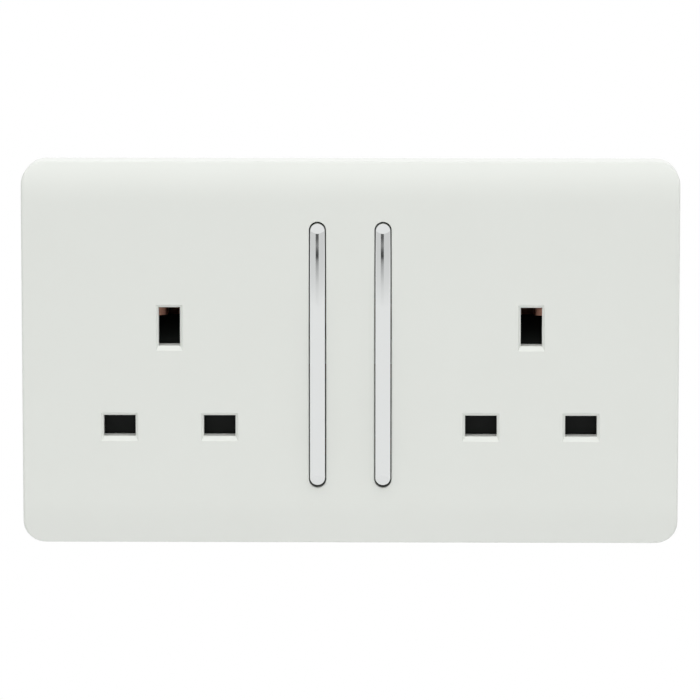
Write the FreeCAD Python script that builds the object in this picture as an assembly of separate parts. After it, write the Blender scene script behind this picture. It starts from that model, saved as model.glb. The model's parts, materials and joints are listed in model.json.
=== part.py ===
"""Twin switched wall socket for flat three-pin plugs, with a clip-on screwless cover.

Units are millimetres. X runs to the right as the user faces the socket, Z is up, Y runs back into the wall.
The origin is the middle of the plate in the wall plane, half way between the two fixing holes.
"""
import FreeCAD
import Part
import math
import os

Vector = FreeCAD.Vector

# Cover plate
PLATE_WIDTH = 145.6
PLATE_HEIGHT = 85.4
PLATE_DEPTH = 9.5
PLATE_WALL = 2.2
PLATE_CORNER_RADIUS = 5.0
PLATE_EDGE_RADIUS = 0.6
SHOULDER_HEIGHT = 4.7
SHOULDER_DROP = 2.1
SHOULDER_ROUND_SHARE = 0.85
PRY_NOTCH_WIDTH = 10.0
PRY_NOTCH_DEPTH = 1.4

# Outlets
OUTLET_SPACING = 80.2
PIN_SPACING = 22.2
PIN_ROW_Z = -16.1
FLAT_APERTURE_WIDTH = 7.05
FLAT_APERTURE_HEIGHT = 4.7
EARTH_APERTURE_WIDTH = 4.75
EARTH_APERTURE_HEIGHT = 8.6
APERTURE_BEVEL = 0.6
APERTURE_LOWER_BEVEL = 1.1
THROAT_CLEARANCE = 0.05
PIN_THICKNESS = 4.0
FLAT_PIN_LENGTH = 17.7
EARTH_PIN_LENGTH = 22.8

# Rocker switches
ROCKER_SPACING = 14.5
ROCKER_Z = -0.2
ROCKER_LENGTH = 58.4
ROCKER_WIDTH = 3.35
ROCKER_SIDE_GAP = 0.2
ROCKER_END_GAP = 0.5
ROCKER_SLOT_EDGE_RADIUS = 0.25
ROCKER_PROUD = 0.65
ROCKER_BACK_DEPTH = 2.6
ROCKER_BOW_RADIUS = 600.0
ROCKER_CROWN_RADIUS = 9.0
ROCKER_END_LENGTH = 2.25
ROCKER_END_FALL = 0.6
ROCKER_EDGE_RADIUS = 0.2
ROCKER_TILT = 1.5
ARM_WIDTH = 2.6
ARM_LENGTH = 26.0
ARM_SPINE_DEPTH = 1.9
STEM_WIDTH = 3.0
STEM_HEIGHT = 4.6
STEM_LENGTH = 5.4
TRUNNION_RADIUS = 1.25
TRUNNION_LENGTH = 1.4
TRUNNION_DEPTH = 5.9
PEG_RADIUS = 0.6
PEG_LENGTH = 1.2
PEG_SPACING = 18.0
BEARING_WALL = 1.3
RUNNING_CLEARANCE = 0.05

# Toggle and see-saw contact
PLUNGER_RADIUS = 0.9
PLUNGER_TAIL = 1.6
PLUNGER_TRAVEL = 1.0
PLUNGER_GAP = 0.1
PLUNGER_SPRING_WIRE = 0.25
PLUNGER_SPRING_LENGTH = 2.4
PLUNGER_SPRING_TURNS = 4
SEESAW_DEPTH = 14.1
SEESAW_TILT = 10.5
SEESAW_WIDTH = 4.0
SEESAW_STOP_ARM = 7.6
CONTACT_ARM = 8.5
CONTACT_TAIL = 1.6
SEESAW_PIN_RADIUS = 0.5
SEESAW_SIDE_GAP = 0.3
CHEEK_HALF_HEIGHT = 2.2
TIP_RADIUS = 1.4
TIP_THICKNESS = 0.7
TIP_DOME_RADIUS = 2.5
CONTACT_CLEARANCE = 0.05

# Mounting frame
FIXING_SPACING = 120.6
FIXING_HOLE_RADIUS = 2.0
FIXING_HEAD_ROOM = 4.2
FIXING_NOTCH_HALF_HEIGHT = 7.0
FLANGE_THICKNESS = 2.2
FLANGE_GAP = 1.3
FLANGE_CORNER_RADIUS = 3.0
DECK_GAP = 0.2
DECK_THICKNESS = 2.2
DECK_SLOT_MARGIN = 0.2
FRAME_WALL = 1.5
HOOK_WIDTH = 8.0
HOOK_THICKNESS = 1.4
HOOK_BARB = 0.7
HOOK_CLEARANCE = 0.2
HOOK_CATCH = 1.0
HOOK_X = 48.0

# Rear housing
HOUSING_WALL = 1.5
HOUSING_FLOOR = 2.0
HOUSING_CLEARANCE = 0.15
HOUSING_SIDE_ROOM = 1.0
HOUSING_CORNER_RADIUS = 2.0
RIB = 1.2
WELL_CLEARANCE = 0.4
UPPER_SCREW_X = 48.0
UPPER_SCREW_Z = 25.0
LOWER_SCREW_X = 18.0
LOWER_SCREW_Z = -13.5
SCREW_RADIUS = 1.45
SCREW_HEAD_RADIUS = 2.6
SCREW_HEAD_HEIGHT = 1.8
SCREW_LENGTH = 14.0
SCREW_CLEARANCE = 0.05
SCREW_HOLE_CLEARANCE = 0.15
CROSS_RECESS_RADIUS = 1.55
BOSS_WALL = 1.2

# Shutters
SHUTTER_THICKNESS = 1.6
SHUTTER_CLEARANCE = 0.2
SHUTTER_OVERLAP = 0.45
SHUTTER_STEM_WIDTH = 8.0
SHUTTER_TRAVEL = 5.6
RAMP_WIDTH = 5.4
RAMP_ROOT = 3.0
SPRING_LUG_WIDTH = 4.4
SPRING_LUG_HEIGHT = 2.0
SHUTTER_SPRING_RADIUS = 1.5
SHUTTER_SPRING_WIRE = 0.35
SHUTTER_SPRING_TURNS = 7
SPRING_STEPS = 8

# Pressed metal and terminals
STRIP_THICKNESS = 0.8
STRIP_WIDTH = 3.6
BEND_RADIUS = 0.9
FLAT_CLIP_WIDTH = 5.6
EARTH_CLIP_WIDTH = 7.0
CLIP_GRIP = 0.5
CLIP_BASE_ROOM = 0.8
CLIP_MOUTH_ROOM = 0.9
CLIP_PINCH_DEPTH = 2.5
FLAT_CLIP_MOUTH_Y = -1.5
EARTH_CLIP_LIP = 1.2
EARTH_CLIP_GRIP = 1.4
EARTH_TONGUE_REACH = 5.0
EARTH_TONGUE_FOLD = 1.4
EARTH_TONGUE_GAP = 0.3
TERMINAL_SIZE = 8.0
TERMINAL_DEPTH = 8.2
TERMINAL_BORE_RADIUS = 2.2
TERMINAL_BORE_LENGTH = 7.0
TERMINAL_BORE_BACK = 5.2
TERMINAL_WALL_GAP = 0.7
EARTH_TERMINAL_X = 20.0
NEUTRAL_TERMINAL_X = 0.0
TERMINAL_SCREW_RADIUS = 1.7
TERMINAL_HEAD_RADIUS = 2.9
TERMINAL_HEAD_HEIGHT = 2.0
DRIVER_SLOT_WIDTH = 0.9
DRIVER_SLOT_DEPTH = 0.9
DRIVER_HOLE_CLEARANCE = 0.5

# Rolled shoulders
SHOULDER_SLOPE = math.atan2(SHOULDER_DROP, SHOULDER_HEIGHT)

# Levels from the front of the plate to the back of the housing
FACE_Y = -PLATE_DEPTH
DECK_FRONT_Y = FACE_Y + PLATE_WALL + DECK_GAP
DECK_BACK_Y = DECK_FRONT_Y + DECK_THICKNESS
SHUTTER_FRONT_Y = DECK_BACK_Y + SHUTTER_CLEARANCE
SHUTTER_BACK_Y = SHUTTER_FRONT_Y + SHUTTER_THICKNESS
WELL_RIM_Y = SHUTTER_BACK_Y + SHUTTER_CLEARANCE
STRIP_FRONT_Y = FACE_Y + FLAT_PIN_LENGTH + CLIP_BASE_ROOM
STRIP_BACK_Y = STRIP_FRONT_Y + STRIP_THICKNESS
EARTH_FRONT_Y = FACE_Y + EARTH_PIN_LENGTH + CLIP_BASE_ROOM / 2
FLOOR_Y = EARTH_FRONT_Y + STRIP_THICKNESS
BACK_Y = FLOOR_Y + HOUSING_FLOOR
TRUNNION_Y = FACE_Y + TRUNNION_DEPTH
ARM_FRONT_Y = FACE_Y + ROCKER_BACK_DEPTH
STEM_END_Y = TRUNNION_Y + STEM_LENGTH
SEESAW_Y = FACE_Y + SEESAW_DEPTH
TRUNNION_REACH = STEM_WIDTH / 2 + TRUNNION_LENGTH
PLUNGER_TIP_Y = SEESAW_Y - STRIP_THICKNESS / 2 - PLUNGER_GAP

# Places of the outlets, switches and pins
OUTLETS = {"left": -OUTLET_SPACING / 2, "right": OUTLET_SPACING / 2}
SWITCHES = {"left": -ROCKER_SPACING / 2, "right": ROCKER_SPACING / 2}
NEUTRAL_X = [x - PIN_SPACING / 2 for x in OUTLETS.values()]
LIVE_X = [x + PIN_SPACING / 2 for x in OUTLETS.values()]
EARTH_Z = PIN_ROW_Z + PIN_SPACING
EARTH_TOP_Z = EARTH_Z + EARTH_APERTURE_HEIGHT / 2
EARTH_FOOT_Z = EARTH_Z - EARTH_APERTURE_HEIGHT / 2

# Housing and frame outline, from the outermost apertures and the rocker slots
SLOT_HALF_LENGTH = ROCKER_LENGTH / 2 + ROCKER_END_GAP
CAVITY_HALF_WIDTH = OUTLET_SPACING / 2 + PIN_SPACING / 2 + FLAT_APERTURE_WIDTH / 2 + HOUSING_SIDE_ROOM
CAVITY_HALF_HEIGHT = SLOT_HALF_LENGTH + abs(ROCKER_Z) + ROCKER_END_GAP
HOUSING_HALF_WIDTH = CAVITY_HALF_WIDTH + HOUSING_WALL
HOUSING_HALF_HEIGHT = CAVITY_HALF_HEIGHT + HOUSING_WALL
FRAME_HALF_WIDTH = HOUSING_HALF_WIDTH + HOUSING_CLEARANCE + FRAME_WALL
FRAME_HALF_HEIGHT = HOUSING_HALF_HEIGHT + HOUSING_CLEARANCE + FRAME_WALL
NOTCH_X = FIXING_SPACING / 2 - FIXING_HEAD_ROOM
FLANGE_HALF_WIDTH = PLATE_WIDTH / 2 - PLATE_WALL - FLANGE_GAP
FLANGE_HALF_HEIGHT = PLATE_HEIGHT / 2 - PLATE_WALL - FLANGE_GAP
HOOK_Z = FRAME_HALF_HEIGHT + HOOK_CLEARANCE + HOOK_THICKNESS / 2 + HOOK_CLEARANCE
HOOK_PLACES = [-HOOK_X, 0.0, HOOK_X]
SCREW_PLACES = [(sign * UPPER_SCREW_X, UPPER_SCREW_Z) for sign in (-1, 1)]
SCREW_PLACES += [(sign * LOWER_SCREW_X, LOWER_SCREW_Z) for sign in (-1, 1)]
BOSS_RADIUS = SCREW_RADIUS + SCREW_CLEARANCE + BOSS_WALL
TOWER_RADIUS = SCREW_HEAD_RADIUS + SCREW_CLEARANCE + BOSS_WALL
SCREW_SEAT_Y = BACK_Y - SCREW_HEAD_HEIGHT - SCREW_CLEARANCE
BOSS_END_Y = SCREW_SEAT_Y - SCREW_LENGTH / 2

# Shutter heights
SHUTTER_BAR_TOP_Z = PIN_ROW_Z + FLAT_APERTURE_HEIGHT / 2 + SHUTTER_OVERLAP
SHUTTER_BAR_FOOT_Z = PIN_ROW_Z - FLAT_APERTURE_HEIGHT / 2 - SHUTTER_OVERLAP
SHUTTER_BAR_HALF_WIDTH = PIN_SPACING / 2 + FLAT_APERTURE_WIDTH / 2 + SHUTTER_OVERLAP
RAMP_FOOT_Z = EARTH_FOOT_Z + SHUTTER_CLEARANCE
RAMP_TOP_Z = RAMP_FOOT_Z + SHUTTER_TRAVEL
RAMP_BACK_Y = SHUTTER_FRONT_Y + SHUTTER_TRAVEL
SHUTTER_SPRING_Y = SHUTTER_BACK_Y + SHUTTER_SPRING_RADIUS + SHUTTER_CLEARANCE

# Strip heights and terminals
CLIP_HALF_GAP = PIN_THICKNESS / 2
CLIP_HALF_HEIGHT = CLIP_HALF_GAP + CLIP_MOUTH_ROOM + STRIP_THICKNESS
WELL_HALF_WIDTH = FLAT_CLIP_WIDTH / 2 + WELL_CLEARANCE
WELL_HALF_HEIGHT = CLIP_HALF_HEIGHT + WELL_CLEARANCE
NEUTRAL_BAR_Z = PIN_ROW_Z - WELL_HALF_HEIGHT - RIB - WELL_CLEARANCE - STRIP_WIDTH / 2
FEED_BAR_Z = ROCKER_Z + CONTACT_ARM
TERMINAL_MOUTH_Z = CAVITY_HALF_HEIGHT - TERMINAL_WALL_GAP
SEESAW_SWING = math.radians(SEESAW_TILT)
DOME_CENTRE = STRIP_THICKNESS / 2 + TIP_THICKNESS - TIP_DOME_RADIUS
CLOSED_DOME_Y = SEESAW_Y + DOME_CENTRE * math.cos(SEESAW_SWING) + CONTACT_ARM * math.sin(SEESAW_SWING)
FIXED_TIP_FRONT_Y = CLOSED_DOME_Y + TIP_DOME_RADIUS + CONTACT_CLEARANCE
FEED_FRONT_Y = FIXED_TIP_FRONT_Y + TIP_THICKNESS
STOP_TOP_Y = (SEESAW_Y + STRIP_THICKNESS / 2 * math.cos(SEESAW_SWING)
              + SEESAW_STOP_ARM * math.sin(SEESAW_SWING) + PLUNGER_GAP)
STOP_Z = ROCKER_Z - SEESAW_STOP_ARM * math.cos(SEESAW_SWING)
LIVE_STRIP_FOOT_Z = STOP_Z + RIB + WELL_CLEARANCE
LIVE_STRIP_TOP_Z = LIVE_STRIP_FOOT_Z + STRIP_WIDTH
BRACKET_HALF_WIDTH = SEESAW_WIDTH / 2 + SEESAW_SIDE_GAP + STRIP_THICKNESS


def point(plane, u, v, level):
    """The point (u, v) of a drawing plane that lies at a level on the axis across it."""
    if plane == "xz":
        return Vector(u, level, v)
    if plane == "yz":
        return Vector(level, u, v)
    return Vector(u, v, level)


def rounded_wire(plane, corners, radii, level):
    """A closed outline through the corners, each rounded by its own radius."""
    count = len(corners)
    spots = [point(plane, u, v, level) for u, v in corners]
    if not isinstance(radii, (list, tuple)):
        radii = [radii] * count
    stretches = []
    for i in range(count):
        here = spots[i]
        to_last = (spots[i - 1] - here).normalize()
        to_next = (spots[(i + 1) % count] - here).normalize()
        half = to_last.getAngle(to_next) / 2
        if radii[i] <= 0:
            stretches.append((here, None, here))
            continue
        reach = radii[i] / math.tan(half)
        middle = (to_last + to_next).normalize() * (radii[i] / math.sin(half) - radii[i])
        stretches.append((here + to_last * reach, here + middle, here + to_next * reach))
    edges = []
    for i, (start, middle, end) in enumerate(stretches):
        if middle is not None:
            edges.append(Part.Arc(start, middle, end).toShape())
        following = stretches[(i + 1) % count][0]
        if (following - end).Length > 1e-6:
            edges.append(Part.LineSegment(end, following).toShape())
    return Part.Wire(edges)


def prism(plane, corners, radii, start, end):
    """A straight prism on a rounded outline, between two levels on the axis across the plane."""
    face = Part.Face(rounded_wire(plane, corners, radii, start))
    return face.extrude(point(plane, 0, 0, end - start))


def rectangle(half_u, half_v, u=0.0, v=0.0):
    """The corners of a rectangle about a point."""
    signs = ((-1, -1), (1, -1), (1, 1), (-1, 1))
    return [(u + a * half_u, v + b * half_v) for a, b in signs]


def block(x, y, z):
    """A box between pairs of limits."""
    return Part.makeBox(x[1] - x[0], y[1] - y[0], z[1] - z[0], Vector(x[0], y[0], z[0]))


def rod(radius, x, z, start, end):
    """A cylinder along Y."""
    return Part.makeCylinder(radius, end - start, Vector(x, start, z), Vector(0, 1, 0))


def around(centre, half):
    return (centre - half, centre + half)


def fuse(solids):
    return solids[0].multiFuse(solids[1:]).removeSplitter()


def cut(solid, tools):
    return solid.cut(Part.makeCompound(tools)).removeSplitter()


def bevel_cut(x, z, width, height):
    """The tool for a square-cornered aperture with a 45 degree lead-in, drawn out longer at its foot."""
    throat = block(around(x, width / 2), (FACE_Y, FACE_Y + 2 * PLATE_WALL), around(z, height / 2))
    foot_corners = rectangle(width / 2, height / 2, x, z)
    drop = APERTURE_LOWER_BEVEL - APERTURE_BEVEL
    reach = 2 * APERTURE_BEVEL
    mouth_corners = rectangle(width / 2 + reach, height / 2 + reach + drop, x, z - drop)
    mouth = rounded_wire("xz", mouth_corners, 0, FACE_Y - APERTURE_BEVEL)
    foot = rounded_wire("xz", foot_corners, 0, FACE_Y + APERTURE_BEVEL)
    return Part.makeLoft([mouth, foot], True, True).fuse(throat)


def apertures():
    """Place and size of all six pin apertures."""
    flat = [(x, PIN_ROW_Z, FLAT_APERTURE_WIDTH, FLAT_APERTURE_HEIGHT) for x in NEUTRAL_X + LIVE_X]
    earth = [(x, EARTH_Z, EARTH_APERTURE_WIDTH, EARTH_APERTURE_HEIGHT) for x in OUTLETS.values()]
    return flat + earth


def folded_strip(plane, path, width, level):
    """Sheet metal folded along a path, with round bends, of a given width about a level."""
    half = STRIP_THICKNESS / 2
    sides = {1: [], -1: []}
    bends = {1: [], -1: []}
    for i, (u, v) in enumerate(path):
        before = path[max(i - 1, 0)] if i else path[0]
        ahead = path[min(i + 1, len(path) - 1)]
        directions = []
        for (u0, v0), (u1, v1) in ((before, (u, v)), ((u, v), ahead)):
            length = math.hypot(u1 - u0, v1 - v0)
            if length > 0:
                directions.append(((u1 - u0) / length, (v1 - v0) / length))
        first, last = directions[0], directions[-1]
        turn = first[0] * last[1] - first[1] * last[0]
        share = half / (1 + first[0] * last[0] + first[1] * last[1])
        shift = (-(first[1] + last[1]) * share, (first[0] + last[0]) * share)
        for side in (1, -1):
            sides[side].append((u + side * shift[0], v + side * shift[1]))
            bends[side].append(0 if abs(turn) < 1e-9 else BEND_RADIUS - side * math.copysign(half, turn))
    outline = sides[1] + sides[-1][::-1]
    radii = bends[1] + bends[-1][::-1]
    return prism(plane, outline, radii, level - width / 2, level + width / 2)


def coil_spring(radius, wire, turns, length):
    """A wire spring that stands on the origin along Z, lofted through six-sided sections of the wire."""
    centre_radius = radius - wire / 2
    stations = turns * SPRING_STEPS
    sections = []
    for i in range(stations + 1):
        angle = 2 * math.pi * i / SPRING_STEPS
        outward = Vector(math.cos(angle), math.sin(angle), 0)
        centre = outward * centre_radius + Vector(0, 0, wire / 2 + (length - wire) * i / stations)
        ring = []
        for k in range(6):
            turn = math.pi * k / 3
            upward = Vector(0, 0, math.sin(turn))
            ring.append(centre + (outward * math.cos(turn) + upward) * (wire / 2))
        sections.append(Part.makePolygon(ring + ring[:1]))
    return Part.makeLoft(sections, True, True)


def pivot_pin(radius, reach, x, y):
    """A cylinder along X at the rocker's height, reaching equally to both sides."""
    return Part.makeCylinder(radius, 2 * reach, Vector(x - reach, y, ROCKER_Z), Vector(1, 0, 0))


def tilted(shape, x, y, degrees):
    """A switch piece turned about its pivot, an axis along X at the rocker's height."""
    return shape.rotated(Vector(x, y, ROCKER_Z), Vector(1, 0, 0), degrees)


def plate_form(inset):
    """The cover's outer form with its rolled shoulders, set in evenly from all but the wall side."""
    half_width = PLATE_WIDTH / 2 - inset
    half_height = PLATE_HEIGHT / 2 - inset
    knee_z = PLATE_HEIGHT / 2 - SHOULDER_HEIGHT - inset * math.tan(SHOULDER_SLOPE / 2)
    rim_y = FACE_Y + inset + (half_height - knee_z) * math.tan(SHOULDER_SLOPE)
    half_profile = [(0, half_height), (rim_y, half_height), (FACE_Y + inset, knee_z)]
    profile = half_profile + [(y, -z) for y, z in half_profile[::-1]]
    slope_length = (half_height - knee_z) / math.cos(SHOULDER_SLOPE)
    bend = SHOULDER_ROUND_SHARE * slope_length / math.tan(SHOULDER_SLOPE / 2)
    side_view = prism("yz", profile, [0, 0, bend, bend, 0, 0], -half_width, half_width)
    front_view = prism("xz", rectangle(half_width, half_height), PLATE_CORNER_RADIUS - inset, FACE_Y, 0)
    return side_view.common(front_view).removeSplitter()


def front_rim_edges(form):
    """The edges where the plate's front surfaces meet its outer walls."""
    found = []
    for edge in form.Edges:
        middle = edge.valueAt((edge.FirstParameter + edge.LastParameter) / 2)
        along = edge.tangentAt((edge.FirstParameter + edge.LastParameter) / 2)
        corner = Vector(max(abs(middle.x) - PLATE_WIDTH / 2 + PLATE_CORNER_RADIUS, 0), 0,
                        max(abs(middle.z) - PLATE_HEIGHT / 2 + PLATE_CORNER_RADIUS, 0))
        on_outline = abs(corner.Length - PLATE_CORNER_RADIUS) < 1e-4
        if on_outline and middle.y < -1e-4 and abs(along.y) < 0.99:
            found.append(edge)
    return found


def plate_hook(x, side):
    """A snap leg behind the cover, with its barb turned outwards."""
    root_y = FACE_Y + PLATE_WALL / 2
    end_y = -HOOK_CLEARANCE
    catch_y = -FLANGE_THICKNESS + HOOK_CATCH + HOOK_CLEARANCE / 2
    inner = HOOK_Z - HOOK_THICKNESS / 2
    outer = HOOK_Z + HOOK_THICKNESS / 2
    profile = [(root_y, inner), (end_y, inner), (end_y, outer), (catch_y, outer + HOOK_BARB),
               (catch_y, outer), (root_y, outer)]
    return prism("yz", [(y, side * z) for y, z in profile], 0, x - HOOK_WIDTH / 2, x + HOOK_WIDTH / 2)


def rocker_slot(x, margin, start, end):
    """A pill-shaped prism round a rocker, wider than its slot by a margin on each side."""
    half_width = ROCKER_WIDTH / 2 + ROCKER_SIDE_GAP + margin
    half_length = SLOT_HALF_LENGTH + margin
    return prism("xz", rectangle(half_width, half_length, x, ROCKER_Z), half_width, start, end)


def front_plate():
    outside = plate_form(0.0)
    shell = outside.makeFillet(PLATE_EDGE_RADIUS, front_rim_edges(outside)).cut(plate_form(PLATE_WALL))
    hooks = [plate_hook(x, side) for x in HOOK_PLACES for side in (1, -1)]
    plate = fuse([shell] + hooks)
    tools = [bevel_cut(*place) for place in apertures()]
    tools += [rocker_slot(x, 0.0, FACE_Y, FACE_Y + 2 * PLATE_WALL) for x in SWITCHES.values()]
    tools.append(block(around(0, PRY_NOTCH_WIDTH / 2), (-PRY_NOTCH_DEPTH, 0),
                       (-PLATE_HEIGHT / 2, -PLATE_HEIGHT / 2 + PLATE_WALL)))
    plate = cut(plate, tools)
    rims = []
    for edge in plate.Edges:
        box = edge.BoundBox
        on_face = abs(box.YMin - FACE_Y) < 1e-6 and abs(box.YMax - FACE_Y) < 1e-6
        for x in SWITCHES.values():
            reach = ROCKER_WIDTH / 2 + ROCKER_SIDE_GAP
            if on_face and abs(box.Center.x - x) < reach + 1e-6 and box.XLength < 2 * reach + 1e-6:
                rims.append(edge)
    return plate.makeFillet(ROCKER_SLOT_EDGE_RADIUS, rims)


def stepped_form(half_width, half_height, notch_x, notch_half_height, radius, start, end):
    """A rounded box form, notched at both ends to clear the fixing screws."""
    form = prism("xz", rectangle(half_width, half_height), radius, start, end)
    notches = [block(sorted((side * notch_x, side * half_width)), (start, end), around(0, notch_half_height))
               for side in (-1, 1)]
    return form.cut(Part.makeCompound(notches))


def housing_form(grow, start, end):
    """The housing's outside, grown evenly: negative inside its own wall, positive inside the frame."""
    inset = HOUSING_CLEARANCE + FRAME_WALL - grow
    return stepped_form(HOUSING_HALF_WIDTH + grow, HOUSING_HALF_HEIGHT + grow, NOTCH_X - inset,
                        FIXING_NOTCH_HALF_HEIGHT + inset, HOUSING_CORNER_RADIUS + grow, start, end)


def rocker_bearing(x, side):
    """One ear behind the deck that carries a rocker's trunnion pin."""
    inner = x + side * (STEM_WIDTH / 2 + 2 * RUNNING_CLEARANCE)
    outer = x + side * TRUNNION_REACH
    reach = TRUNNION_RADIUS + RUNNING_CLEARANCE + BEARING_WALL
    corners = [(DECK_BACK_Y - DECK_THICKNESS / 2, ROCKER_Z - reach), (TRUNNION_Y + reach, ROCKER_Z - reach),
               (TRUNNION_Y + reach, ROCKER_Z + reach), (DECK_BACK_Y - DECK_THICKNESS / 2, ROCKER_Z + reach)]
    return prism("yz", corners, [0, reach / 2, reach / 2, 0], min(inner, outer), max(inner, outer))


def mounting_frame():
    outline = rectangle(FLANGE_HALF_WIDTH, FLANGE_HALF_HEIGHT)
    flange = prism("xz", outline, FLANGE_CORNER_RADIUS, -FLANGE_THICKNESS, 0)
    box = housing_form(HOUSING_CLEARANCE + FRAME_WALL, DECK_FRONT_Y, 0)
    tray = cut(fuse([flange, box]), [housing_form(HOUSING_CLEARANCE, DECK_BACK_Y, 0)])
    added = [rod(BOSS_RADIUS, x, z, DECK_BACK_Y - DECK_THICKNESS / 2, BOSS_END_Y) for x, z in SCREW_PLACES]
    removed = [rod(SCREW_RADIUS + SCREW_CLEARANCE, x, z, DECK_BACK_Y, BOSS_END_Y) for x, z in SCREW_PLACES]
    for x in SWITCHES.values():
        added += [rocker_bearing(x, side) for side in (-1, 1)]
        removed.append(rocker_slot(x, DECK_SLOT_MARGIN, DECK_FRONT_Y, DECK_BACK_Y))
        removed.append(pivot_pin(TRUNNION_RADIUS + RUNNING_CLEARANCE, TRUNNION_REACH, x, TRUNNION_Y))
    for x in OUTLETS.values():
        for side in (-1, 1):
            inner = x + side * (SHUTTER_STEM_WIDTH / 2 + SHUTTER_CLEARANCE)
            outer_x = inner + side * RIB
            added.append(block(sorted((inner, outer_x)), (DECK_BACK_Y - DECK_THICKNESS / 2, WELL_RIM_Y),
                               (SHUTTER_BAR_TOP_Z + SHUTTER_CLEARANCE / 2, EARTH_FOOT_Z)))
    for x, z, width, height in apertures():
        removed.append(block(around(x, width / 2 + THROAT_CLEARANCE), (DECK_FRONT_Y, DECK_BACK_Y),
                             around(z, height / 2 + THROAT_CLEARANCE)))
    for x in (-FIXING_SPACING / 2, FIXING_SPACING / 2):
        removed.append(rod(FIXING_HOLE_RADIUS, x, 0, -FLANGE_THICKNESS, 0))
    for x in HOOK_PLACES:
        for side in (1, -1):
            removed += hook_slot(x, side)
    return cut(fuse([tray] + added), removed)


def hook_slot(x, side):
    """The stepped slot in the flange that a plate hook snaps into."""
    wide = around(x, HOOK_WIDTH / 2 + HOOK_CLEARANCE)
    inner = HOOK_Z - HOOK_THICKNESS / 2 - HOOK_CLEARANCE
    outer = HOOK_Z + HOOK_THICKNESS / 2 + HOOK_CLEARANCE
    pocket = outer + HOOK_BARB
    ledge_y = -FLANGE_THICKNESS + HOOK_CATCH
    return [block(wide, (-FLANGE_THICKNESS, ledge_y), sorted((side * inner, side * outer))),
            block(wide, (ledge_y, 0), sorted((side * inner, side * pocket)))]


def terminal_places():
    """Each terminal as its X, its side of the housing and the front of the strip it is riveted to."""
    return {
        "live_terminal": (0.0, 1, FEED_FRONT_Y),
        "earth_terminal_left": (-EARTH_TERMINAL_X, 1, EARTH_FRONT_Y),
        "earth_terminal_right": (EARTH_TERMINAL_X, 1, EARTH_FRONT_Y),
        "neutral_terminal": (NEUTRAL_TERMINAL_X, -1, STRIP_FRONT_Y),
    }


def terminal_middle_z(side):
    return side * (TERMINAL_MOUTH_Z - TERMINAL_SIZE / 2)


def terminal_block(x, side, strip_y):
    """A brass pillar in front of its strip, with a blind cable bore and a tapped hole behind it."""
    middle = terminal_middle_z(side)
    half = TERMINAL_SIZE / 2
    bore_y = strip_y - TERMINAL_BORE_BACK
    pillar = block(around(x, half), (strip_y - TERMINAL_DEPTH, strip_y), around(middle, half))
    mouth = Vector(x, bore_y, side * TERMINAL_MOUTH_Z)
    bore = Part.makeCylinder(TERMINAL_BORE_RADIUS, TERMINAL_BORE_LENGTH, mouth, Vector(0, 0, -side))
    tapped = rod(TERMINAL_SCREW_RADIUS + SCREW_CLEARANCE, x, middle, bore_y, strip_y)
    return cut(pillar, [bore, tapped])


def terminal_screw(x, side, strip_y):
    """A slotted clamp screw, backed off so that its tip is clear of the cable bore."""
    middle = terminal_middle_z(side)
    tip_y = strip_y - TERMINAL_BORE_BACK + TERMINAL_BORE_RADIUS + SCREW_CLEARANCE
    seat_y = strip_y + STRIP_THICKNESS + SCREW_CLEARANCE
    head_y = seat_y + TERMINAL_HEAD_HEIGHT
    screw = fuse([rod(TERMINAL_SCREW_RADIUS, x, middle, tip_y, seat_y),
                  rod(TERMINAL_HEAD_RADIUS, x, middle, seat_y, head_y)])
    slot = block(around(x, TERMINAL_HEAD_RADIUS), (head_y - DRIVER_SLOT_DEPTH, head_y),
                 around(middle, DRIVER_SLOT_WIDTH / 2))
    return screw.cut(slot)


def housing_screw(x, z):
    """A pan-head screw from the back of the housing into the frame, with a cross recess."""
    head_y = SCREW_SEAT_Y + SCREW_HEAD_HEIGHT
    screw = fuse([rod(SCREW_RADIUS, x, z, SCREW_SEAT_Y - SCREW_LENGTH, SCREW_SEAT_Y),
                  rod(SCREW_HEAD_RADIUS, x, z, SCREW_SEAT_Y, head_y)])
    depth = (head_y - DRIVER_SLOT_DEPTH, head_y)
    recess = [block(around(x, CROSS_RECESS_RADIUS), depth, around(z, DRIVER_SLOT_WIDTH / 2)),
              block(around(x, DRIVER_SLOT_WIDTH / 2), depth, around(z, CROSS_RECESS_RADIUS))]
    return cut(screw, recess)


def well(x, z, half_width, half_height, rim_y):
    """A square shaft on the housing floor that holds a pin clip, and the space inside it."""
    outside = block(around(x, half_width + RIB), (rim_y, FLOOR_Y), around(z, half_height + RIB))
    inside = block(around(x, half_width), (rim_y, FLOOR_Y), around(z, half_height))
    return outside, inside


def earth_rim_y():
    """Where the earth wells and clips start, just behind the shutter ramps."""
    return RAMP_BACK_Y + 2 * SHUTTER_CLEARANCE


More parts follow.
